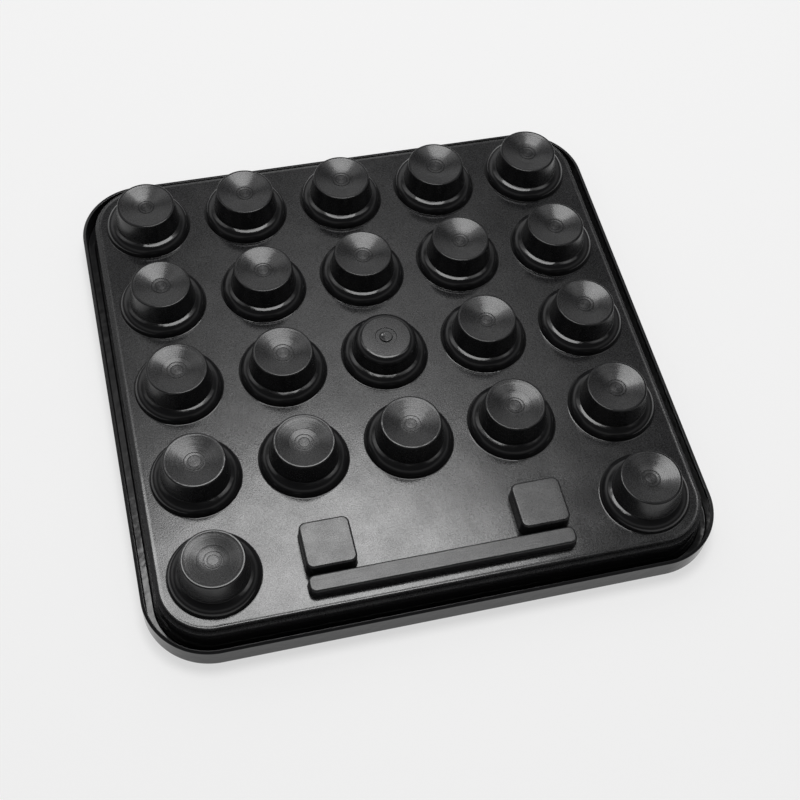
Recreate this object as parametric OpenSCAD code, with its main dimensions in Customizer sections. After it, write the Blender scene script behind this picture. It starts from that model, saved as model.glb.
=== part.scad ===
// Snooker ball tray, a square plastic moulding, lying upside down on its rim.
// The undersides of the ball cups point up. Turned over, it holds the balls in the cups,
// two cubes of chalk in the square pockets and a pencil in the trough.
// The origin is the middle of the resting face, X runs along a row and Y to the back row.

/* [Ball places] */
// Distance between neighbouring ball places
pitch = 68; // [64:0.5:80]

/* [Deck] */
// Wall thickness of the moulding
wall = 2.2; // [1.6:0.1:2.6]
// Height of the deck's face above the resting face
deck_h = 25.5; // [22:0.5:34]
// Distance from the outer ball places to the deck's edge
deck_margin = 34; // [34:0.5:50]
// Corner radius of the deck's edge
deck_corner_r = 30.5; // [20:0.5:45]
// Radius that rounds the deck's edge
deck_edge_r = 0.5; // [0.3:0.1:2]

/* [Rim] */
// Depth of the stacking ledge below the deck's face
ledge_drop = 3; // [2.8:0.1:6]
// Width of the stacking ledge
ledge_w = 2.2; // [1:0.1:5]
// How far the ledge falls towards its outer edge
ledge_fall = 0.6; // [0:0.1:1.2]
// Sideways run of the drafted side wall, from the ledge to the channel
side_run = 2.3; // [0.5:0.1:6]
// Width of the channel between the side wall and the lip
channel_w = 4.8; // [4.5:0.1:12]
// Height of the lip above the resting face
lip_h = 16; // [8:0.5:20]
// How far the top of the lip falls towards its outside
lip_fall = 0.7; // [0:0.1:1.5]
// Bevel along the edges of the lip
lip_bevel = 0.3; // [0.1:0.1:0.7]
// Radius that rounds the outer edge of the resting band
foot_r = 1.6; // [0.5:0.1:1.6]

/* [Ball cups] */
// Height of a cup's rim above the deck's face
cup_h = 22; // [18:0.5:30]
// Radius of the ring where it meets the deck
ring_r = 28.3; // [26:0.1:31]
// Height of the ring's shoulder above the deck's face
ring_h = 7.2; // [7:0.1:12]
// Radius of the ring's rounded shoulder
ring_round_r = 6.7; // [3:0.1:6.8]
// Radius of the stub where it leaves the shoulder
stub_base_r = 21.7; // [19:0.1:24]
// Radius of the stub at its rim
stub_rim_r = 19.3; // [17:0.1:21.5]
// Bevel around the stub's rim
rim_bevel = 0.5; // [0.2:0.1:1]
// Width of the flat land between the bevel and the dish
rim_land = 1.3; // [0.4:0.1:2]
// Depth of the dished end, at its middle
dish_depth = 2.7; // [0.5:0.1:5]

/* [Centre cup] */
// How much lower than the other rims the flat end of the centre cup is
gate_drop = 2.4; // [0:0.1:4]
// Radius that rounds the flat end
gate_round_r = 5; // [3:0.1:7]
// Radius of the round well that is sunk into the flat end
gate_well_r = 7; // [5.2:0.1:9]
// Depth of that well
gate_well = 0.5; // [0.2:0.1:0.8]
// Radius of the gate mark in the well
gate_r = 4.1; // [1:0.1:5]
// Height of the gate mark above the flat end
gate_h = 0.7; // [0.3:0.1:2]

/* [Chalk pockets] */
// Outer width of a pocket at the deck
pocket_w = 32; // [28:0.5:36]
// Height of a pocket above the deck's face
pocket_h = 11; // [6:0.5:16]
// Corner radius of a pocket at the deck
pocket_corner_r = 5; // [3.6:0.1:8]
// Bevel around the end of a pocket
pocket_bevel = 0.6; // [0.2:0.1:1]
// How far a pocket sits inwards of its column of cups
pocket_inset = 1.2; // [0:0.1:10]
// How far the pockets sit behind the front row's centre line
pocket_setback = 2.8; // [0:0.1:8]

/* [Pencil trough] */
// Outer length of the trough at the deck
trough_l = 167; // [120:1:180]
// Outer width of the trough at the deck
trough_w = 12.2; // [11:0.1:15]
// Height of the trough above the deck's face
trough_h = 7; // [4:0.5:12]
// Corner radius of the trough at the deck
trough_corner_r = 4.6; // [3.6:0.1:5]
// Bevel along the trough
trough_bevel = 0.6; // [0.2:0.1:1]
// Gap on the deck between the pockets and the trough
trough_gap = 1.5; // [0.5:0.1:6]
// Sideways run of the drafted walls of the pockets and the trough
draft = 0.5; // [0.2:0.1:0.8]

/* [Hidden] */
$fn = 96;
rows = 5;
columns = 5;
over = 1;

// Half the width of the square that the deck's corners turn about
core = (columns - 1) / 2 * pitch + deck_margin - deck_corner_r;
// Distances from those corner centres outwards
ledge_out = deck_corner_r + ledge_w;
side_foot = ledge_out + side_run;
lip_in = side_foot + channel_w;
lip_out = lip_in + wall;
ledge_z = deck_h - ledge_drop;
// The ledge is a plate as thick as the wall, and the drafted face below it starts at this distance
ledge_low = ledge_z - wall;
ledge_foot = ledge_out + side_run * wall / ledge_low;

pocket_x = (columns - 3) / 2 * pitch - pocket_inset;
pocket_y = pocket_setback - (rows - 1) / 2 * pitch;
trough_y = pocket_y - pocket_w / 2 - trough_gap - trough_w / 2;

// Every place of the grid has a cup, but the front row only at its two ends
places = [
    for (row = [1 : rows])
        for (column = [1 : columns])
            if (row < rows || column == 1 || column == columns) [row, column]
];
gate_place = [(rows + 1) / 2, (columns + 1) / 2];

function cup_name(place) = str("ball_cup_r", place[0], "c", place[1]);
function cup_x(place) = (place[1] - (columns + 1) / 2) * pitch;
function cup_y(place) = ((rows + 1) / 2 - place[0]) * pitch;
// Radius of the tapered stub at a height above the deck's face
function stub_r(z) = stub_base_r + (stub_rim_r - stub_base_r) * (z - ring_h) / (cup_h - ring_h);

// The four sides and the four corners of a band around the tray
spans = [
    "right", "back", "left", "front", "back_right", "back_left", "front_left", "front_right"
];

deck_black = "#2b2b2d";
gloss_black = "#1d1d1f";

// Carries a section, drawn outwards from the corner centres, along one of the spans of a rounded rectangle
module swept_span(i, core_x, core_y) {
    k = i % 4;
    signs = [[1, 1], [-1, 1], [-1, -1], [1, -1]];
    side = 2 * (k % 2 == 0 ? core_y : core_x);
    translate([signs[k][0] * core_x, signs[k][1] * core_y, 0]) rotate(90 * k) {
        if (i < 4) rotate([90, 0, 0]) linear_extrude(side) children();
        else rotate_extrude(angle = 90) children();
    }
}

// Carries a section all around a rounded rectangle
module swept(core_x, core_y) {
    for (i = [0 : len(spans) - 1])
        swept_span(i, core_x, core_y) children();
}

// The flat middle of a swept shape, between its corner centres
module middle(core_x, core_y, low, high) {
    translate([-core_x, -core_y, low]) cube([2 * core_x, 2 * core_y, high - low]);
}

// An upright block with rounded corners
module rounded_block(width, depth, corner_r, low, high) {
    core_x = width / 2 - corner_r;
    core_y = depth / 2 - corner_r;
    swept(core_x, core_y) translate([0, low]) square([corner_r, high - low]);
    middle(core_x, core_y, low, high);
}

// Taken off a section, it rounds the upper, outer corner that lies at its origin
module corner_cut(r) {
    difference() {
        translate([-r, -r]) square(r + over);
        translate([-r, -r]) circle(r);
    }
}

module deck_section() {
    difference() {
        translate([0, deck_h - wall]) square([deck_corner_r, wall]);
        translate([deck_corner_r, deck_h]) corner_cut(deck_edge_r);
    }
}

// The flat plate, open under every cup, pocket and trough
module deck() {
    color(deck_black) difference() {
        union() {
            swept(core, core) deck_section();
            middle(core, core, deck_h - wall, deck_h);
        }
        for (place = places)
            translate([cup_x(place), cup_y(place), deck_h - wall - over])
                cylinder(r = ring_r - wall, h = wall + 2 * over);
        for (side = [-1, 1])
            translate([side * pocket_x, pocket_y, 0])
                rounded_block(pocket_w - 2 * wall, pocket_w - 2 * wall, pocket_corner_r - wall,
                              deck_h - wall - over, deck_h + over);
        translate([0, trough_y, 0])
            rounded_block(trough_l - 2 * wall, trough_w - 2 * wall, trough_corner_r - wall,
                          deck_h - wall - over, deck_h + over);
    }
}

// The ledge that carries the deck and on which another tray stands
module stacking_ledge() {
    color(gloss_black) swept(core, core) polygon([
        [deck_corner_r - wall, ledge_low], [ledge_foot, ledge_low], [ledge_out, ledge_z - ledge_fall],
        [deck_corner_r, ledge_z], [deck_corner_r, deck_h - wall], [deck_corner_r - wall, deck_h - wall]
    ]);
}

// A span of the drafted wall that carries the ledge
module side_wall(i) {
    color(gloss_black) swept_span(i, core, core) polygon([
        [side_foot - wall, wall], [side_foot, wall],
        [ledge_foot, ledge_low], [ledge_foot - wall, ledge_low]
    ]);
}

// The flat band that the tray rests on, which is its top edge in use
module rim_floor() {
    color(gloss_black) swept(core, core) difference() {
        translate([side_foot - wall, 0]) square([lip_out - side_foot + wall, wall]);
        translate([lip_out, 0]) mirror([0, 1]) corner_cut(foot_r);
    }
}

// A span of the thin lip around the channel
module outer_lip(i) {
    outer_z = lip_h - lip_fall;
    color(gloss_black) swept_span(i, core, core) polygon([
        [lip_in, wall], [lip_out, wall], [lip_out, outer_z - lip_bevel], [lip_out - lip_bevel, outer_z],
        [lip_in + lip_bevel, lip_h], [lip_in, lip_h - lip_bevel]
    ]);
}

// Half the outline of a cup's ring, drawn inset from its outer face
module ring_half(inset) {
    round_x = ring_r - ring_round_r;
    round_z = ring_h - ring_round_r;
    translate([0, -inset]) square([ring_r - inset, round_z + inset]);
    square([round_x, ring_h - inset]);
    translate([round_x, round_z]) intersection() {
        circle(ring_round_r - inset);
        square(ring_round_r);
    }
}

// Half the hollow of a cup's stub, under its dished end
module stub_hollow() {
    corner_z = cup_h - wall;
    polygon([
        [0, -over], [stub_r(-over) - wall, -over], [stub_r(corner_z) - wall, corner_z],
        [0, corner_z - dish_depth]
    ]);
}

// Half the outline of the centre cup's stub, drawn inset from its outer face
module gate_half(inset) {
    end_z = cup_h - gate_drop;
    round_z = end_z - gate_round_r;
    round_x = stub_r(round_z) - gate_round_r;
    polygon([
        [0, -inset], [stub_r(-inset) - inset, -inset], [stub_r(round_z) - inset, round_z], [0, round_z]
    ]);
    square([round_x, end_z - inset]);
    translate([round_x, round_z]) intersection() {
        circle(gate_round_r - inset);
        square(gate_round_r);
    }
}

// A cup with a dished end
module cup_section() {
    dish_r = stub_rim_r - rim_bevel - rim_land;
    difference() {
        union() {
            ring_half(0);
            polygon([
                [0, 0], [stub_r(0), 0], [stub_r(cup_h - rim_bevel), cup_h - rim_bevel],
                [stub_rim_r - rim_bevel, cup_h], [dish_r, cup_h], [0, cup_h - dish_depth]
            ]);
        }
        ring_half(wall);
        stub_hollow();
    }
}

// The cup with the flat end, where the plastic entered the mould
module gate_cup_section() {
    end_z = cup_h - gate_drop;
    well_z = end_z - gate_well;
    difference() {
        union() {
            ring_half(0);
            gate_half(0);
        }
        ring_half(wall);
        gate_half(wall);
        translate([0, well_z]) square([gate_well_r, gate_well + over]);
    }
    translate([0, well_z]) square([gate_r, gate_well + gate_h]);
}

module ball_cup(place) {
    color(gloss_black) translate([cup_x(place), cup_y(place), deck_h]) rotate_extrude() {
        if (place == gate_place) gate_cup_section();
        else cup_section();
    }
}

// A drafted hollow block that stands open side down on the deck
module hollow_block(width, depth, height, corner_r, bevel) {
    core_x = width / 2 - corner_r;
    core_y = depth / 2 - corner_r;
    translate([0, 0, deck_h]) {
        swept(core_x, core_y) polygon([
            [corner_r - wall, 0], [corner_r, 0], [corner_r - draft, height - bevel],
            [corner_r - draft - bevel, height], [0, height], [0, height - wall],
            [corner_r - wall - draft, height - wall]
        ]);
        middle(core_x, core_y, height - wall, height);
    }
}

// A square pocket for a cube of chalk, left or right of the middle
module chalk_pocket(side) {
    color(deck_black) translate([side * pocket_x, pocket_y, 0])
        hollow_block(pocket_w, pocket_w, pocket_h, pocket_corner_r, pocket_bevel);
}

// The long narrow trough for a pencil
module pencil_trough() {
    color(deck_black) translate([0, trough_y, 0])
        hollow_block(trough_l, trough_w, trough_h, trough_corner_r, trough_bevel);
}

deck();
stacking_ledge();
rim_floor();
for (i = [0 : len(spans) - 1]) {
    side_wall(i);
    outer_lip(i);
}
for (place = places)
    ball_cup(place);
chalk_pocket(-1);  // chalk_pocket_left
chalk_pocket(1);  // chalk_pocket_right
pencil_trough();
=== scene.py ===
"""A moulded plastic ball tray that lies upside down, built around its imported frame."""

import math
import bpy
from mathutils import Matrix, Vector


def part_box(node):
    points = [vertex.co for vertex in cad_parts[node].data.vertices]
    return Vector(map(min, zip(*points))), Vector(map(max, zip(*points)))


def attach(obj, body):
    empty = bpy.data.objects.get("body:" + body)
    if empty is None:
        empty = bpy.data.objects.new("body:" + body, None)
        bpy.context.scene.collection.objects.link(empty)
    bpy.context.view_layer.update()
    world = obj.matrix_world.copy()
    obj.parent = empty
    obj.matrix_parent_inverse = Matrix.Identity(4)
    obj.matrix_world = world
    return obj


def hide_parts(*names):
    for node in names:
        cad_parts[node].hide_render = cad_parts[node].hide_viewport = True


bl_info = {
    "name": "Ball Tray",
    "version": (1, 0, 0),
    "blender": (4, 5, 0),
    "location": "3D View > Sidebar > Ball Tray",
    "description": "Builds a moulded tray for a set of balls, upside down on its rim, with its studio",
    "category": "Add Mesh",
}

import bmesh
import bpy
from bpy.props import FloatProperty, FloatVectorProperty, IntProperty, PointerProperty, StringProperty
from bpy.types import Operator, Panel, PropertyGroup
from mathutils import Matrix, Vector, noise

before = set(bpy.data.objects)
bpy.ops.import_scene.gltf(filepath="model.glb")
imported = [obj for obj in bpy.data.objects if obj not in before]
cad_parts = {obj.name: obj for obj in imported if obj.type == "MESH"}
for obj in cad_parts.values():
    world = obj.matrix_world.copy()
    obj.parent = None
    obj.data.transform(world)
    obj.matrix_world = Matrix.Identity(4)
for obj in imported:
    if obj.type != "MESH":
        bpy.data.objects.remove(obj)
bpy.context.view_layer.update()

MM = 0.001
CM = 10 * MM
BODY = "root"

CUPS = sorted(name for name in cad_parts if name.startswith("ball_cup_"))
GATE_CUP = "ball_cup_r3c3"
POCKETS = ("chalk_pocket_left", "chalk_pocket_right")
TROUGH = "pencil_trough"
SIDE_WALL = [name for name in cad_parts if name.startswith("side_wall")]
OUTER_LIP = [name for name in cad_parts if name.startswith("outer_lip")]

_, DECK_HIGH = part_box("deck")
LEDGE_LOW, LEDGE_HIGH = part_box("stacking_ledge")
WALL_OUT = max(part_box(name)[1].x for name in SIDE_WALL)
RIM_LOW, RIM_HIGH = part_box("rim_floor")
LIP_OUT, LIP_TOP = (max(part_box(name)[1][i] for name in OUTER_LIP) for i in (0, 2))
CUP_LOW, CUP_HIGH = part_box(CUPS[0])
DECK_FACE = DECK_HIGH.z

# Points closer than this are one point
WELD = 1e-6
# How far a foot's fillet runs on below the face that it stands on, so that it meets that face in a clean line
SINK = 0.01 * MM
# Width of the flat strip that keeps a rounded edge from bending the shading of the flat face beside it
STRIP = 0.4 * MM
# About how far one face of a rounded edge turns, and the angle from which an edge shades sharp
ARC_STEP = math.radians(11)
SHARP = math.radians(32)

# The bead along the deck's edge: its width, its section as distances from its foot with shares of its height,
# and the distance from the foot at which its nicks begin
BEAD_WIDTH = 2.6 * MM
BEAD_SECTION = ((STRIP, 0), (1.0 * MM, 0.25), (1.6 * MM, 0.9), (1.9 * MM, 1))
NICKED_FROM = 0.5 * MM
# Width of the nicks and of the longer waves, and the share of the bead's height that is gone at the back
NICK_WIDTH, WAVE_WIDTH = 1.8 * MM, 9 * MM
BEAD_LOSS = 0.3
# Faces along each side of the deck's edge, short enough for the nicks, and along each side of a block
EDGE_RUNS, BLOCK_RUNS = 180, 12

# Where the flat bottom of a turned groove begins and ends, as shares of its width
GROOVE_FLAT = (0.3, 0.7)
# Passes of the lathe across a dished end, and how they stray from an even spacing
PASSES, PASS_STRAY, PASS_PHASE = 6, 0.25, 2.4
# Radius that rounds the rim into the dished end
DISH_EDGE = 1.5 * MM
# Rings of points across the top of the gate mark, as shares of its radius
GATE_RINGS = (0, 0.15, 0.3, 0.45, 0.6, 0.75)
# Sideways run of the steep sides of the gate mark and of its well
GATE_LEAN = 0.15 * MM
# The UV map of a cup: the distance from its axis in centimetres, and the share of a turn around it
TURNING = "turning"
# A lathe feed of a tenth of a millimetre would be finer than a pixel of the render, so it is drawn wider
LINES_PER_CM = 7.7

# The room's brightness from the horizon, 0, to straight overhead, 1
ROOM_STOPS = (
    (0.0, "#606060"), (0.3, "#808080"), (0.48, "#ffffff"), (0.62, "#ffffff"), (0.66, "#e0e0e0"),
    (0.7, "#a4a4a4"), (0.74, "#585858"), (1.0, "#484848"))
# The direction in which the room is brightest, and the cosines of the angle from it between which it fades in
ROOM_BACK = (-0.2, 0.98, 0.0)
ROOM_FADE = (0.35, 0.75)
# Glows: degrees to the right of straight back, degrees of elevation, radius in degrees, and brightness
GLOWS = ((15, 59, 12, 2.6), (-29, 60, 14, 2.5), (65, 65, 11, 2.6))
# How far the floor lies below the tray, so that no two faces share a plane
FLOOR_GAP = 0.1 * MM


def length(name, description, millimetres):
    """A property that holds a length, given in millimetres."""
    return FloatProperty(name=name, description=description, default=millimetres * MM, min=0, unit="LENGTH")


def share(name, description, default):
    """A property that holds a share from 0 to 1."""
    return FloatProperty(name=name, description=description, default=default, min=0, max=1, subtype="FACTOR")


def count(name, description, default, fewest):
    """A property that holds a number of faces."""
    return IntProperty(name=name, description=description, default=default, min=fewest)


def swatch(name, description, default):
    """A property that holds a colour as sRGB hex."""
    return StringProperty(name=name, description=description + ", as sRGB hex", default=default)


class TrayShell(PropertyGroup):
    """Sizes of the deck and of the bands around it."""

    wall: length("Wall", "Wall thickness of the moulding", 2.2)
    deck_corner: length("Deck corner", "Corner radius of the deck's edge", 30.5)
    deck_edge: length("Deck edge", "Radius that rounds the deck's edge", 0.5)
    deck_bead: length("Deck bead", "Height of the low bead along the deck's edge", 0.11)
    nicks: length("Nicks", "How far that bead is nicked and burred", 0.014)
    ledge_drop: length("Ledge drop", "Depth of the stacking ledge below the deck's face", 3.0)
    ledge: length("Ledge", "Width of the stacking ledge", 2.2)
    ledge_fall: length("Ledge fall", "How far the ledge falls towards its outer edge", 0.68)
    ledge_edge: length("Ledge edge", "Radius that rounds the ledge", 0.3)
    lip_fall: length("Lip fall", "How far the lip's top falls towards its outside", 0.7)
    lip_edge: length("Lip edge", "Radius that rounds the edges of the lip's top", 0.3)
    rest_edge: length("Rest edge", "Radius that rounds the outer edge of the resting band", 1.6)
    fillet: length("Fillet", "Radius of the fillets in the channel", 0.8)
    corner_steps: count("Corner steps", "Faces around a corner of the tray", 28, 4)


class CupShape(PropertyGroup):
    """Sizes of the cups, from their axis and from the deck's face."""

    shoulder: length("Shoulder", "Height of the ring's shoulder beside the stub", 7.2)
    shoulder_fall: length("Shoulder fall", "How far the shoulder falls towards the ring's side", 1.5)
    shoulder_round: length("Shoulder round", "Radius that rounds the shoulder", 6.0)
    stub_base: length("Stub base", "Radius of the stub where it leaves the shoulder", 21.7)
    stub_rim: length("Stub rim", "Radius of the stub at its rim", 19.3)
    stub_fillet: length("Stub fillet", "Radius of the fillet between shoulder and stub", 0.6)
    rim_round: length("Rim round", "Radius that rounds the rim", 0.9)
    land: length("Land", "Width of the rim outside the dished end", 1.35)
    dish: length("Dish", "Depth of the dished end at its middle", 2.3)
    ring_rise: length("Ring rise", "How far the ring around the disc of a dished end rises outwards", 0.1)
    hollow: length("Hollow", "Height of the gentle slope around that ring", 0.26)
    foot: length("Foot", "Radius of the fillet on the deck", 0.3)
    lap: length("Lap", "Width of the witness line that the round mould insert left around the foot", 0.7)
    lap_height: length("Lap height", "Height of that witness line beside the ring", 0.09)
    inside_round: length("Inside round", "Radius that rounds the edges of the ball seat", 0.8)
    gate_drop: length("Gate drop", "How much lower the flat end of the middle cup is", 2.4)
    gate_round: length("Gate round", "Radius that rounds the flat end of the middle cup", 5.0)
    gate_well_radius: length("Gate well radius", "Radius of the well around the gate mark", 7.0)
    gate_well: length("Gate well", "Depth of the well around the gate mark", 0.5)
    gate_radius: length("Gate radius", "Radius of the gate mark", 4.1)
    gate_height: length("Gate height", "Height of the gate mark above the flat end", 0.7)
    groove: length("Groove", "Width of a turned groove", 0.8)
    groove_depth: length("Groove depth", "Depth of a turned groove", 0.25)
    pass_depth: length("Pass depth", "How far a pass of the lathe lies above or below the dished end", 0.06)
    steps: count("Steps", "Faces around a cup", 96, 12)


class BlockShape(PropertyGroup):
    """Sizes of the chalk pockets and of the pencil trough."""

    draft: length("Draft", "Sideways run of a drafted wall", 0.5)
    pocket_corner: length("Pocket corner", "Corner radius of a pocket", 5.0)
    trough_corner: length("Trough corner", "Corner radius of the trough", 4.6)
    pocket_edge: length("Pocket edge", "Radius that rounds the end of a pocket", 1.3)
    trough_edge: length("Trough edge", "Radius that rounds the trough", 1.2)
    foot: length("Foot", "Radius of the fillet on the deck", 0.35)
    inside_round: length("Inside round", "Radius that rounds the hollows", 0.8)
    sink_mark: length("Sink mark", "How far the end of a pocket has sunk in", 0.06)


class Finish(PropertyGroup):
    """Colours and gloss of the plastic, and colours of the floor."""

    colour: swatch("Plastic", "Colour of the plastic", "#1f1f20")
    floor_colour: swatch("Floor", "Colour of the floor", "#a8a8a8")
    floor_glow: swatch("Floor glow", "Light from within the floor", "#cdcdcd")
    satin: share("Satin", "Roughness of the deck and of the middle cup's flat end", 0.15)
    gloss: share("Gloss", "Roughness of the rings around the cups and of the bands", 0.11)
    mirror: share("Mirror", "Specular level of that glossy plastic", 0.38)
    dull: share("Dull", "Roughness of the stubs' sides, the chalk pockets and the stacking ledge", 0.25)
    drawn: share("Drawn", "Roughness of the trough", 0.29)
    turned: share("Turned", "Roughness of the turned ends", 0.27)
    grain: length("Grain", "Width of the moulded grain", 0.6)


class Studio(PropertyGroup):
    """Camera and soft light."""

    camera_place: FloatVectorProperty(
        name="Camera", description="Where the camera stands",
        default=(-0.16191, -0.51244, 0.80440), subtype="TRANSLATION")
    camera_right: FloatVectorProperty(
        name="Camera right", description="Direction to the right of the picture",
        default=(0.970231, -0.234475, 0.060600))
    camera_down: FloatVectorProperty(
        name="Camera down", description="Direction to the foot of the picture",
        default=(-0.166002, -0.826085, -0.538541))
    lens: FloatProperty(name="Lens", description="Focal length in millimetres", default=64.44, min=1)
    light_place: FloatVectorProperty(
        name="Soft box", description="Middle of the round soft box overhead",
        default=(0.18, 0.7, 2.4), subtype="TRANSLATION")
    light_width: length("Soft box width", "Width of the round soft box", 1100)
    light_depth: length("Soft box depth", "Depth of the round soft box", 1160)
    light_power: FloatProperty(
        name="Soft box power", description="Power of the round soft box", default=27, unit="POWER")
    room_front: FloatProperty(
        name="Room front", description="Brightness of the room behind the camera", default=0.36)
    room_back: FloatProperty(
        name="Room back", description="Brightness of the room behind the tray", default=1.0)
    glow: FloatProperty(name="Glows", description="Brightness of the glows in the room", default=1.0)
    floor_width: length("Floor width", "Width of the floor", 30000)


class BallTray(PropertyGroup):
    """All settings of the tray."""

    shell: PointerProperty(type=TrayShell)
    cups: PointerProperty(type=CupShape)
    blocks: PointerProperty(type=BlockShape)
    finish: PointerProperty(type=Finish)
    studio: PointerProperty(type=Studio)


def linear(hex_colour):
    """Turns an sRGB hex colour into linear red, green, blue and alpha."""
    parts = [int(hex_colour[i:i + 2], 16) / 255 for i in (1, 3, 5)]
    return [c / 12.92 if c <= 0.04045 else ((c + 0.055) / 1.055) ** 2.4 for c in parts] + [1.0]


def add_node(tree, kind, inputs=None, **settings):
    """Adds a node. Each input is a value, or an output that feeds it."""
    node = tree.nodes.new(kind)
    for name, value in settings.items():
        setattr(node, name, value)
    for socket, value in (inputs or {}).items():
        if isinstance(value, bpy.types.NodeSocket):
            tree.links.new(value, node.inputs[socket])
        else:
            node.inputs[socket].default_value = value
    return node


def add_range(tree, value, low, high, start=0.3, end=0.7):
    """Maps a value to a range. It starts and ends where nearly all of a noise does, unless told otherwise."""
    return add_node(tree, "ShaderNodeMapRange", {
        "Value": value, "From Min": start, "From Max": end, "To Min": low, "To Max": high}).outputs["Result"]


def new_material(name, colour, **values):
    """A new material with its shader, and the shader's tree."""
    material = bpy.data.materials.new(name)
    material.use_nodes = True
    tree = material.node_tree
    tree.nodes.clear()
    shader = add_node(tree, "ShaderNodeBsdfPrincipled", {"Base Color": linear(colour), "IOR": 1.5, **values})
    add_node(tree, "ShaderNodeOutputMaterial", {"Surface": shader.outputs["BSDF"]})
    return material, tree, shader


def add_place(tree):
    """The place on a piece, in metres."""
    return add_node(tree, "ShaderNodeTexCoord").outputs["Object"]


def add_marks(tree, place, width, **inputs):
    """A noise whose marks are this wide, in millimetres."""
    scale = 1 / (width * MM)
    return add_node(tree, "ShaderNodeTexNoise", {"Vector": place, "Scale": scale, **inputs}).outputs["Fac"]


def add_relief(tree, shader, height, depth, **inputs):
    """Shades a plastic, at half strength, as if a height stood out by this depth, in millimetres."""
    relief = add_node(tree, "ShaderNodeBump", {
        "Strength": 0.5, "Distance": depth * MM, "Height": height, **inputs}).outputs["Normal"]
    tree.links.new(relief, shader.inputs["Normal"])
    return relief


def vary_roughness(tree, shader, place, level, width, below, above, **inputs):
    """Lets the roughness stray below and above a level, in marks this wide, in millimetres."""
    haze = add_marks(tree, place, width, Detail=3.0, **inputs)
    tree.links.new(add_range(tree, haze, level - below, level + above), shader.inputs["Roughness"])


def add_grain(tree, shader, place, finish, smudge, sheen=0.5):
    """Speckles a plastic with its grain, and dulls it a little in smudges this wide, in millimetres."""
    grains = add_marks(tree, place, finish.grain / MM, Detail=1.0)
    speckle = add_node(tree, "ShaderNodeVectorMath", {
        0: linear(finish.colour)[:3], "Scale": add_range(tree, grains, 0.3, 2.1)}, operation="SCALE")
    tree.links.new(speckle.outputs["Vector"], shader.inputs["Base Color"])
    smudges = add_marks(tree, place, smudge, Detail=4.0, Roughness=0.6)
    level = add_node(tree, "ShaderNodeMath", {
        0: add_range(tree, smudges, 0.9 * sheen, 1.08 * sheen),
        1: add_range(tree, grains, 0.8, 1.2, start=0.25, end=0.75)}, operation="MULTIPLY")
    tree.links.new(level.outputs["Value"], shader.inputs["Specular IOR Level"])


# Moulded ABS from a mould with a fine spark-eroded grain: satin, so a soft box shows as a broad sheen with a
# soft edge, and things close to the surface are mirrored in it. The sheen is speckled by the grain, and uneven
# where hands have touched it and where the deck has warped.
def satin_moulded_abs(finish):
    material, tree, shader = new_material("satin_moulded_abs", finish.colour)
    place = add_place(tree)
    vary_roughness(tree, shader, place, finish.satin, width=34, below=0.03, above=0.04, Roughness=0.55)
    # The real grain is finer than a pixel of the render, so it is drawn as coarse as it needs to show
    add_grain(tree, shader, place, finish, smudge=14)
    pits = add_marks(tree, place, 1.3 * (finish.grain / MM), Detail=2.0)
    pitted = add_relief(tree, shader, pits, depth=0.05)
    warp = add_marks(tree, place, 45, Detail=1.0)
    add_relief(tree, shader, warp, depth=0.6, Normal=pitted)
    return material


# Moulded ABS from mould faces that were left as milled: too dull for mirror images, and mottled.
def dull_moulded_abs(finish):
    material, tree, shader = new_material("dull_moulded_abs", finish.colour)
    place = add_place(tree)
    vary_roughness(tree, shader, place, finish.dull, width=16, below=0.04, above=0.05, Roughness=0.6)
    add_grain(tree, shader, place, finish, smudge=11)
    return material


# Moulded ABS from a mould that was dressed lengthwise: duller than the deck, with faint streaks along it.
def drawn_moulded_abs(finish):
    material, tree, shader = new_material("drawn_moulded_abs", finish.colour, Roughness=finish.drawn)
    place = add_place(tree)
    add_grain(tree, shader, place, finish, smudge=9)
    # Marks 0.9 mm wide and fifteen times as long
    along = add_node(tree, "ShaderNodeMapping", {"Vector": place, "Scale": (1 / 15, 1, 1)})
    streaks = add_marks(tree, along.outputs["Vector"], 0.9, Detail=2.0)
    add_relief(tree, shader, streaks, depth=0.12)
    return material


# Moulded ABS from a polished mould: glossy and deep black, with crisp highlights on its rounds, which waver
# where the wall has shrunk unevenly behind them.
def gloss_moulded_abs(finish):
    material, tree, shader = new_material(
        "gloss_moulded_abs", finish.colour, **{"Specular IOR Level": finish.mirror})
    place = add_place(tree)
    vary_roughness(tree, shader, place, finish.gloss, width=16, below=0.02, above=0.04)
    waver = add_marks(tree, place, 6, Detail=1.0)
    add_relief(tree, shader, waver, depth=0.24)
    return material


# Moulded ABS that copies the lathe marks of a round mould insert: the fine grooves run around the middle, so
# light spreads along the radius and a soft box shows as fan-shaped wedges with arcs in them. The skin of the
# plastic is smoother than the grooves, so a sharper image lies over the wedges.
def turned_moulded_abs(finish):
    material, tree, shader = new_material("turned_moulded_abs", finish.colour, **{
        "Roughness": finish.turned, "Anisotropic": 0.5, "Coat Weight": 0.2, "Coat Roughness": finish.gloss})
    turning = add_node(tree, "ShaderNodeUVMap", uv_map=TURNING)
    radius = add_node(tree, "ShaderNodeSeparateXYZ", {"Vector": turning.outputs["UV"]}).outputs["X"]
    tangent = add_node(tree, "ShaderNodeTangent", direction_type="UV_MAP", uv_map=TURNING)
    tree.links.new(tangent.outputs["Tangent"], shader.inputs["Tangent"])
    lines = add_node(tree, "ShaderNodeTexNoise", {
        "W": radius, "Scale": LINES_PER_CM, "Detail": 2.0, "Roughness": 0.7}, noise_dimensions="1D")
    add_relief(tree, shader, lines.outputs["Fac"], depth=0.13)
    add_grain(tree, shader, add_place(tree), finish, smudge=7, sheen=0.38)
    return material


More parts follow.
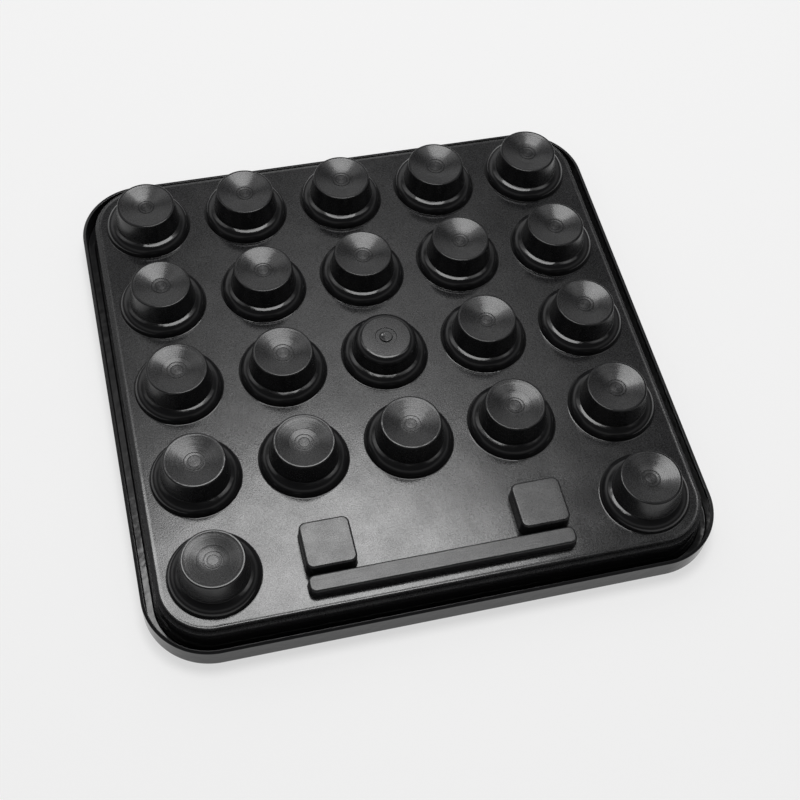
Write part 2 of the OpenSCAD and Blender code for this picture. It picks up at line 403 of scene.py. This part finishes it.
# Opal acrylic sheet lit from below: an even, almost white ground on which a thing leaves only a faint shadow.
def lit_opal_acrylic(finish):
    material, _, _ = new_material("lit_opal_acrylic", finish.floor_colour, **{
        "Roughness": 0.9, "Specular IOR Level": 0.0,
        "Emission Color": linear(finish.floor_glow), "Emission Strength": 1.0})
    return material


# The plastics of a cup, by the number that its faces carry
CUP_PLASTICS = (gloss_moulded_abs, turned_moulded_abs, satin_moulded_abs, dull_moulded_abs)
GLOSS, TURNED, SATIN, DULL = range(len(CUP_PLASTICS))


def plastic(make, finish):
    """The material that a function makes and is named for, made once."""
    return bpy.data.materials.get(make.__name__) or make(finish)


def middle_of(low, high, height):
    """The middle of a node's box, at a height."""
    return Vector(((low.x + high.x) / 2, (low.y + high.y) / 2, height))


def draw_line(bm, points):
    """Draws a section's line in the XZ plane. A point's third number is the radius that rounds it."""
    spots = [Vector((point[0], 0, point[1])) for point in points]
    verts = [bm.verts.new(spot) for spot in spots]
    for vert, following in zip(verts, verts[1:]):
        bm.edges.new((vert, following))
    for i, point in enumerate(points):
        radius = point[2] if len(point) > 2 else 0
        if radius:
            opening = (spots[i - 1] - spots[i]).angle(spots[i + 1] - spots[i])
            bmesh.ops.bevel(
                bm, geom=[verts[i]], offset=radius / math.tan(opening / 2), offset_type="OFFSET",
                segments=max(3, round((math.pi - opening) / ARC_STEP)), profile=0.5, affect="VERTICES",
                material=-1)
    return bm.verts[:] + bm.edges[:]


def carry_round(bm, line, core_x, core_y, steps, runs=1):
    """Carries a section's line around a rounded rectangle whose corners turn about its core."""
    verts = [v for v in line if isinstance(v, bmesh.types.BMVert)]
    bmesh.ops.translate(bm, verts=verts, vec=(core_x, -core_y, 0))
    for turn, (side_x, side_y) in enumerate(((1, 1), (-1, 1), (-1, -1), (1, -1))):
        straight = Vector((0, 2 * (core_x if turn % 2 else core_y), 0))
        run = Matrix.Rotation(turn * math.pi / 2, 3, "Z") @ straight
        line = bmesh.ops.spin(
            bm, geom=line, cent=(0, 0, 0), axis=(0, 0, 1), dvec=run / runs, angle=0, steps=runs)["geom_last"]
        line = bmesh.ops.spin(
            bm, geom=line, cent=(side_x * core_x, side_y * core_y, 0), axis=(0, 0, 1), dvec=(0, 0, 0),
            angle=math.pi / 2, steps=steps)["geom_last"]
    bmesh.ops.remove_doubles(bm, verts=bm.verts, dist=WELD)


def close_line(points):
    """A section's line that ends where it starts."""
    return list(points) + [points[0][:2]]


def open_rims(bm, height):
    """The open edges at a height."""
    return [e for e in bm.edges if e.is_boundary and all(abs(v.co.z - height) < WELD for v in e.verts)]


def pour(source, target):
    """Adds a bmesh's shape to another, and frees it."""
    mesh = bpy.data.meshes.new("poured")
    source.to_mesh(mesh)
    source.free()
    target.from_mesh(mesh)
    bpy.data.meshes.remove(mesh)


def finish_piece(bm, name, nodes, materials):
    """Makes a finished piece that stands for nodes of the frame."""
    bmesh.ops.remove_doubles(bm, verts=bm.verts, dist=WELD)
    bmesh.ops.recalc_face_normals(bm, faces=bm.faces)
    if bm.calc_volume(signed=True) < 0:
        bmesh.ops.reverse_faces(bm, faces=bm.faces)
    for face in bm.faces:
        face.smooth = True
    for edge in bm.edges:
        edge.smooth = edge.calc_face_angle(0) < SHARP
    name = "moulded_" + name
    mesh = bpy.data.meshes.new(name)
    bm.to_mesh(mesh)
    bm.free()
    for material in materials:
        mesh.materials.append(material)
    piece = bpy.data.objects.new(name, mesh)
    bpy.context.scene.collection.objects.link(piece)
    shading = piece.modifiers.new("flat faces shade flat", "WEIGHTED_NORMAL")
    shading.keep_sharp = True
    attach(piece, BODY)
    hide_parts(*nodes)


def add_deck_edge(bm, shell, core, under):
    """Adds the deck's edge with its bead, which is highest at the front.

    Knocks have nicked and burred the bead, so it glints in a broken line.
    """
    bead = shell.deck_bead
    flat_end = shell.deck_corner - BEAD_WIDTH
    line = draw_line(bm, [
        (flat_end, DECK_FACE), *((flat_end + run, DECK_FACE + rise * bead) for run, rise in BEAD_SECTION),
        (shell.deck_corner, DECK_FACE + bead, shell.deck_edge),
        (shell.deck_corner, under), (flat_end, under)])
    carry_round(bm, line, core, core, 2 * shell.corner_steps, runs=EDGE_RUNS)
    for vert in bm.verts:
        across = max(abs(vert.co.x), abs(vert.co.y)) - core
        if vert.co.z > under + SINK and across > flat_end + NICKED_FROM:
            spot = vert.co.xy.to_3d()
            uneven = noise.noise(spot / NICK_WIDTH) + noise.noise(spot / WAVE_WIDTH)
            lower = 1 - min(1, max(0, -vert.co.y / core))
            vert.co.z += shell.nicks * uneven - lower * min(BEAD_LOSS * bead, max(0, vert.co.z - DECK_FACE))


def add_mouths(bm, tray):
    """Adds the walls of the mouths in the deck, one under every cup, pocket and trough."""
    shell, blocks = tray.shell, tray.blocks
    mouths = bmesh.new()
    for name in CUPS:
        low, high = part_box(name)
        bmesh.ops.create_circle(
            mouths, segments=tray.cups.steps, radius=(high.x - low.x) / 2 - shell.wall,
            matrix=Matrix.Translation(middle_of(low, high, 0)))
    for name, corner in [(n, blocks.pocket_corner) for n in POCKETS] + [(TROUGH, blocks.trough_corner)]:
        low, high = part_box(name)
        half = (high - low) / 2
        mouth = bmesh.new()
        spot = mouth.verts.new((corner - shell.wall, 0, 0))
        carry_round(mouth, [spot], half.x - corner, half.y - corner, shell.corner_steps // 4)
        bmesh.ops.translate(mouth, verts=mouth.verts, vec=middle_of(low, high, 0))
        pour(mouth, mouths)
    bmesh.ops.translate(mouths, verts=mouths.verts, vec=(0, 0, DECK_FACE))
    bmesh.ops.spin(
        mouths, geom=mouths.verts[:] + mouths.edges[:], cent=(0, 0, 0), axis=(0, 0, 1),
        dvec=(0, 0, -shell.wall), angle=0, steps=1)
    pour(mouths, bm)


class BALLTRAY_OT_deck(Operator):
    """Build the deck, open under every cup, pocket and trough"""

    bl_idname = "balltray.deck"
    bl_label = "Deck"

    def execute(self, context):
        tray = context.scene.ball_tray
        shell = tray.shell
        under = DECK_FACE - shell.wall
        bm = bmesh.new()
        add_deck_edge(bm, shell, DECK_HIGH.x - shell.deck_corner, under)
        add_mouths(bm, tray)
        for height in (DECK_FACE, under):
            bmesh.ops.triangle_fill(bm, edges=open_rims(bm, height), use_beauty=True, normal=(0, 0, 1))
        finish_piece(bm, "deck", ["deck"], [plastic(satin_moulded_abs, tray.finish)])
        return {"FINISHED"}


class BALLTRAY_OT_bands(Operator):
    """Build the bands around the deck: stacking ledge, side wall, rim floor and outer lip"""

    bl_idname = "balltray.bands"
    bl_label = "Bands"

    def execute(self, context):
        tray = context.scene.ball_tray
        shell = tray.shell
        core = DECK_HIGH.x - shell.deck_corner
        ledge_in = shell.deck_corner - shell.wall
        ledge_out = shell.deck_corner + shell.ledge
        ledge_foot = LEDGE_HIGH.x - core
        wall_foot = WALL_OUT - core
        lip_out = LIP_OUT - core
        lip_in = lip_out - shell.wall
        floor_z, ledge_low = RIM_HIGH.z, LEDGE_LOW.z
        ledge_z, under = DECK_FACE - shell.ledge_drop, DECK_FACE - shell.wall
        toe = shell.fillet + STRIP
        sections = {
            "stacking_ledge": [
                (ledge_in, under), (ledge_in, ledge_low), (ledge_foot, ledge_low),
                (ledge_out, ledge_z - shell.ledge_fall, shell.ledge_edge), (shell.deck_corner, ledge_z),
                (shell.deck_corner, under)],
            "side_wall": [
                (ledge_foot - shell.wall - toe, ledge_low + SINK),
                (ledge_foot - shell.wall, ledge_low + SINK, shell.fillet),
                (wall_foot - shell.wall, floor_z), (wall_foot + toe, floor_z - SINK),
                (wall_foot, floor_z - SINK, shell.fillet), (ledge_foot, ledge_low)],
            "rim_floor": [
                (wall_foot - shell.wall, floor_z), (wall_foot - shell.wall, RIM_LOW.z, shell.fillet),
                (lip_out, RIM_LOW.z, shell.rest_edge), (lip_out, floor_z)],
            "outer_lip": [
                (lip_out, floor_z), (lip_out, LIP_TOP - shell.lip_fall, shell.lip_edge),
                (lip_in, LIP_TOP, shell.lip_edge), (lip_in, floor_z - SINK, shell.fillet),
                (lip_in - toe, floor_z - SINK)],
        }
        nodes = {"side_wall": SIDE_WALL, "outer_lip": OUTER_LIP}
        makers = {"stacking_ledge": dull_moulded_abs}
        for band, section in sections.items():
            bm = bmesh.new()
            line = draw_line(bm, close_line(section))
            carry_round(bm, line, core, core, shell.corner_steps)
            material = plastic(makers.get(band, gloss_moulded_abs), tray.finish)
            finish_piece(bm, band, nodes.get(band, [band]), [material])
        return {"FINISHED"}


def stub_radius(cups, height, rim_height):
    """Radius of a cup's tapered stub at a height above the deck's face."""
    return cups.stub_base + (
        cups.stub_rim - cups.stub_base) * (height - cups.shoulder) / (rim_height - cups.shoulder)


def outer_line(cups, ring):
    """The outside of a cup below its stub, from the shoulder to the foot on the deck."""
    return [
        (cups.stub_base, cups.shoulder, cups.stub_fillet),
        (ring, cups.shoulder - cups.shoulder_fall, cups.shoulder_round),
        (ring, cups.lap_height, cups.foot), (ring + cups.lap, -SINK)]


def inner_line(cups, ring, wall, rim_height, corner_height, corner_round, middle_height):
    """The inside of a cup, from the deck to the middle of its end."""
    ceiling = cups.shoulder - wall
    return [
        (ring - wall, 0), (ring - wall, ceiling - cups.shoulder_fall, cups.shoulder_round - wall),
        (stub_radius(cups, ceiling, rim_height) - wall, ceiling, cups.inside_round),
        (stub_radius(cups, corner_height, rim_height) - wall, corner_height, corner_round),
        (0, middle_height)]


def vary(which, least, step, stride, sizes):
    """A size in millimetres that differs from cup to cup, out of a number of sizes with an even step."""
    return (least + step * (which * stride % sizes)) * MM


def turned_end(cups, rim_height, which):
    """The dished end of a cup, from its middle outwards.

    A disc and a ring have a groove around each, and a slope in passes of the lathe runs up to the rim. Each
    mould insert was turned by hand, so its marks differ.
    """
    edge = cups.stub_rim - cups.land
    disc = vary(which, 3.0, 0.25, stride=5, sizes=4)
    ring = disc + vary(which, 1.9, 0.1, stride=7, sizes=6)
    hollow = ring + vary(which, 2.6, 0.2, stride=3, sizes=5)
    floor = rim_height - cups.dish
    line = [(0, floor)]
    for radius, rise in ((disc, 0), (ring, cups.ring_rise)):
        line.append((radius, floor + rise))
        line += [(radius + part * cups.groove, floor - cups.groove_depth) for part in GROOVE_FLAT]
        line.append((radius + cups.groove, floor))
    line.append((hollow, floor + cups.hollow))
    for k in range(1, PASSES):
        part = (k + PASS_STRAY * math.sin(PASS_PHASE * k + which)) / PASSES
        height = floor + cups.hollow + (cups.dish - cups.hollow) * part
        line.append((hollow + (edge - hollow) * part, height + (-1) ** (k + which) * cups.pass_depth))
    return line + [(edge, rim_height, DISH_EDGE), (cups.stub_rim, rim_height, cups.rim_round)]


def gate_end(cups, end_height, rim_height):
    """The flat end of the middle cup, with the mark where the plastic entered the mould."""
    top, well = end_height + cups.gate_height, end_height - cups.gate_well
    mark_edge, mark_foot, well_foot, well_edge = 0.3 * MM, 0.2 * MM, 0.15 * MM, 0.2 * MM
    return [(part * cups.gate_radius, top) for part in GATE_RINGS] + [
        (cups.gate_radius, top, mark_edge), (cups.gate_radius + GATE_LEAN, well, mark_foot),
        (cups.gate_well_radius - GATE_LEAN, well, well_foot), (cups.gate_well_radius, end_height, well_edge),
        (stub_radius(cups, end_height, rim_height), end_height, cups.gate_round)]


def shape_gate_mark(bm, cups, end_height):
    """Makes the gate mark uneven, as a broken-off sprue leaves it: it falls to the left and has a pit."""
    fall_from, fall = -1 * MM, 0.16
    pit, pit_radius, pit_depth = Vector((-1.6 * MM, 0.8 * MM)), 0.7 * MM, 0.3 * MM
    for vert in bm.verts:
        if vert.co.z > end_height + 0.3 * cups.gate_height:
            vert.co.z -= fall * max(0, fall_from - vert.co.x)
            vert.co.z -= pit_depth * math.exp(-((vert.co.xy - pit).length / pit_radius) ** 2)


def paint_cup(bm, cups, wall, rim_height, satin_to, turned_to, side_to):
    """Gives a cup's faces their plastics and their UV map.

    The end is satin or turned within a radius, and the stub's side is dull up to a height.
    """
    turning = bm.loops.layers.uv.new(TURNING)
    end_from = rim_height - cups.dish - 0.5 * wall
    side_from = cups.shoulder + cups.stub_fillet
    for face in bm.faces:
        middle = face.calc_center_median()
        radius = middle.xy.length
        if middle.z > end_from and radius < satin_to:
            face.material_index = SATIN
        elif middle.z > end_from and radius < turned_to:
            face.material_index = TURNED
        elif side_from < middle.z < side_to and radius > stub_radius(cups, middle.z, rim_height) - 0.5 * wall:
            face.material_index = DULL
        else:
            face.material_index = GLOSS
        bearing = math.atan2(middle.y, middle.x)
        for loop in face.loops:
            spot = loop.vert.co
            turn = math.atan2(spot.y, spot.x) if spot.xy.length > WELD else bearing
            # Within half a turn of the face's own bearing, so that no face is torn where a new turn starts
            turn = bearing + (turn - bearing + math.pi) % (2 * math.pi) - math.pi
            loop[turning].uv = (spot.xy.length / CM, turn / (2 * math.pi))


class BALLTRAY_OT_cups(Operator):
    """Build the ball cups, with the turned marks of their mould inserts"""

    bl_idname = "balltray.cups"
    bl_label = "Ball cups"

    def execute(self, context):
        tray = context.scene.ball_tray
        cups, wall = tray.cups, tray.shell.wall
        ring = (CUP_HIGH.x - CUP_LOW.x) / 2
        rim_height = CUP_HIGH.z - DECK_FACE
        gate_height = rim_height - cups.gate_drop
        materials = [plastic(make, tray.finish) for make in CUP_PLASTICS]
        for which, name in enumerate(CUPS):
            gate = name == GATE_CUP
            if gate:
                end = gate_end(cups, gate_height, rim_height)
                seat = gate_height - wall, cups.gate_round - wall, gate_height - wall
                satin_to = stub_radius(cups, gate_height, rim_height) - cups.gate_round
                turned_to = 0
                side_to = gate_height - cups.gate_round
            else:
                end = turned_end(cups, rim_height, which)
                seat = rim_height - wall, cups.inside_round, rim_height - cups.dish - wall
                satin_to = 0
                turned_to = cups.stub_rim - cups.land
                side_to = rim_height - cups.rim_round
            bm = bmesh.new()
            inside = inner_line(cups, ring, wall, rim_height, *seat)
            line = draw_line(bm, end + outer_line(cups, ring) + inside)
            bmesh.ops.spin(
                bm, geom=line, cent=(0, 0, 0), axis=(0, 0, 1), dvec=(0, 0, 0), angle=2 * math.pi,
                steps=cups.steps, use_merge=True)
            bmesh.ops.remove_doubles(bm, verts=bm.verts, dist=WELD)
            if gate:
                shape_gate_mark(bm, cups, gate_height)
            paint_cup(bm, cups, wall, rim_height, satin_to, turned_to, side_to)
            bmesh.ops.translate(bm, verts=bm.verts, vec=middle_of(*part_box(name), DECK_FACE))
            finish_piece(bm, name, [name], materials)
        return {"FINISHED"}


def build_block(tray, node, corner, edge, sink, make):
    """Builds a drafted block that stands open side down on the deck."""
    shell, blocks = tray.shell, tray.blocks
    low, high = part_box(node)
    half, height = (high - low) / 2, high.z - low.z
    core_x, core_y = half.x - corner, half.y - corner
    ceiling = height - shell.wall
    bm = bmesh.new()
    line = draw_line(bm, [
        (0, height), (corner - blocks.draft, height, edge), (corner, -SINK, blocks.foot),
        (corner + blocks.foot + STRIP, -SINK), (corner - shell.wall, 0),
        (corner - shell.wall - blocks.draft, ceiling, blocks.inside_round), (0, ceiling)])
    carry_round(bm, line, core_x, core_y, shell.corner_steps // 2, runs=BLOCK_RUNS)
    for level in (height, ceiling):
        rails = [e for e in open_rims(bm, level) if all(abs(abs(v.co.y) - core_y) < WELD for v in e.verts)]
        bmesh.ops.grid_fill(bm, edges=rails, use_interp_simple=True)
    for vert in bm.verts:
        if vert.co.z > height - SINK:
            sunk_x = max(0, 1 - (vert.co.x / (core_x + edge)) ** 2)
            sunk_y = max(0, 1 - (vert.co.y / (core_y + edge)) ** 2)
            vert.co.z -= sink * (sunk_x * sunk_y)
    bmesh.ops.translate(bm, verts=bm.verts, vec=middle_of(low, high, low.z))
    finish_piece(bm, node, [node], [plastic(make, tray.finish)])


class BALLTRAY_OT_pockets(Operator):
    """Build the square chalk pockets"""

    bl_idname = "balltray.pockets"
    bl_label = "Chalk pockets"

    def execute(self, context):
        tray = context.scene.ball_tray
        blocks = tray.blocks
        for node in POCKETS:
            build_block(
                tray, node, blocks.pocket_corner, blocks.pocket_edge, blocks.sink_mark, dull_moulded_abs)
        return {"FINISHED"}


class BALLTRAY_OT_trough(Operator):
    """Build the pencil trough"""

    bl_idname = "balltray.trough"
    bl_label = "Pencil trough"

    def execute(self, context):
        tray = context.scene.ball_tray
        blocks = tray.blocks
        build_block(tray, TROUGH, blocks.trough_corner, blocks.trough_edge, 0, drawn_moulded_abs)
        return {"FINISHED"}


def lay_floor(scene, tray):
    """Lays the floor just below the tray."""
    bm = bmesh.new()
    bmesh.ops.create_grid(bm, x_segments=2, y_segments=2, size=tray.studio.floor_width / 2)
    bmesh.ops.translate(bm, verts=bm.verts, vec=(0, 0, -FLOOR_GAP))
    mesh = bpy.data.meshes.new("floor")
    bm.to_mesh(mesh)
    bm.free()
    mesh.materials.append(lit_opal_acrylic(tray.finish))
    floor = bpy.data.objects.new("floor", mesh)
    scene.collection.objects.link(floor)


def hang_soft_box(scene, studio):
    """Hangs the soft box, which faces down."""
    lamp = bpy.data.lights.new("soft_box", "AREA")
    lamp.shape = "ELLIPSE"
    lamp.size, lamp.size_y = studio.light_width, studio.light_depth
    lamp.energy = studio.light_power
    soft_box = bpy.data.objects.new("soft_box", lamp)
    soft_box.location = studio.light_place
    scene.collection.objects.link(soft_box)


def light_room(scene, studio):
    """Lights a room that is dark behind the camera and pale low down behind the tray.

    It glows around the soft box, and to the left and right of it.
    """
    world = bpy.data.worlds.new("studio_room")
    world.use_nodes = True
    tree = world.node_tree
    tree.nodes.clear()
    bearing = add_node(tree, "ShaderNodeTexCoord").outputs["Generated"]
    height = add_node(tree, "ShaderNodeSeparateXYZ", {"Vector": bearing}).outputs["Z"]
    room = add_node(tree, "ShaderNodeValToRGB", {"Fac": height})
    stops = room.color_ramp.elements
    for stop, (position, grey) in zip(stops, (ROOM_STOPS[0], ROOM_STOPS[-1])):
        stop.position, stop.color = position, linear(grey)
    for position, grey in ROOM_STOPS[1:-1]:
        stops.new(position).color = linear(grey)
    backward = add_node(tree, "ShaderNodeVectorMath", {0: bearing, 1: ROOM_BACK}, operation="DOT_PRODUCT")
    shade = add_range(tree, backward.outputs["Value"], studio.room_front, studio.room_back, *ROOM_FADE)
    strength = add_node(tree, "ShaderNodeMath", {
        0: room.outputs["Color"], 1: shade}, operation="MULTIPLY").outputs["Value"]
    for azimuth, elevation, reach, brightness in GLOWS:
        level, turn = math.radians(elevation), math.radians(azimuth)
        aim = (math.cos(level) * math.sin(turn), math.cos(level) * math.cos(turn), math.sin(level))
        toward = add_node(tree, "ShaderNodeVectorMath", {0: bearing, 1: aim}, operation="DOT_PRODUCT")
        away = add_node(tree, "ShaderNodeMath", {0: toward.outputs["Value"]}, operation="ARCCOSINE")
        glow = add_range(
            tree, away.outputs["Value"], brightness * studio.glow, 0.0, start=0.0, end=math.radians(reach))
        strength = add_node(tree, "ShaderNodeMath", {0: strength, 1: glow}).outputs["Value"]
    background = add_node(tree, "ShaderNodeBackground", {"Color": (1, 1, 1, 1), "Strength": strength})
    add_node(tree, "ShaderNodeOutputWorld", {"Surface": background.outputs["Background"]})
    scene.world = world
    scene.view_settings.view_transform = "Standard"


def place_camera(scene, studio):
    """Places the camera, from its place and the directions of its picture."""
    right, down = Vector(studio.camera_right), Vector(studio.camera_down)
    turn = Matrix((right, -down, right.cross(-down))).transposed()
    eye = bpy.data.cameras.new("camera")
    eye.lens = studio.lens
    eye.clip_start, eye.clip_end = 0.01, 100
    camera = bpy.data.objects.new("camera", eye)
    camera.matrix_world = Matrix.Translation(studio.camera_place) @ turn.to_4x4()
    scene.collection.objects.link(camera)
    scene.camera = camera


class BALLTRAY_OT_stage(Operator):
    """Set up the floor, the soft light, the room and the camera"""

    bl_idname = "balltray.stage"
    bl_label = "Studio"

    def execute(self, context):
        scene = context.scene
        tray = scene.ball_tray
        lay_floor(scene, tray)
        hang_soft_box(scene, tray.studio)
        light_room(scene, tray.studio)
        place_camera(scene, tray.studio)
        return {"FINISHED"}


class BALLTRAY_PT_panel(Panel):
    """Lists the steps that build the tray, and its settings"""

    bl_idname = "BALLTRAY_PT_panel"
    bl_label = "Ball Tray"
    bl_space_type = "VIEW_3D"
    bl_region_type = "UI"
    bl_category = "Ball Tray"

    def draw(self, context):
        tray = context.scene.ball_tray
        for step in STEPS:
            self.layout.operator(step.bl_idname)
        for group in (tray.shell, tray.cups, tray.blocks, tray.finish, tray.studio):
            box = self.layout.box()
            for name in group.__annotations__:
                box.prop(group, name)


STEPS = (BALLTRAY_OT_deck, BALLTRAY_OT_bands, BALLTRAY_OT_cups, BALLTRAY_OT_pockets, BALLTRAY_OT_trough,
         BALLTRAY_OT_stage)
CLASSES = (TrayShell, CupShape, BlockShape, Finish, Studio, BallTray, *STEPS, BALLTRAY_PT_panel)


def register():
    for cls in CLASSES:
        bpy.utils.register_class(cls)
    bpy.types.Scene.ball_tray = PointerProperty(type=BallTray)


def unregister():
    del bpy.types.Scene.ball_tray
    for cls in reversed(CLASSES):
        bpy.utils.unregister_class(cls)


def main():
    register()
    bpy.ops.balltray.deck()
    bpy.ops.balltray.bands()
    bpy.ops.balltray.cups()
    bpy.ops.balltray.pockets()
    bpy.ops.balltray.trough()
    bpy.ops.balltray.stage()


if __name__ == "__main__":
    main()
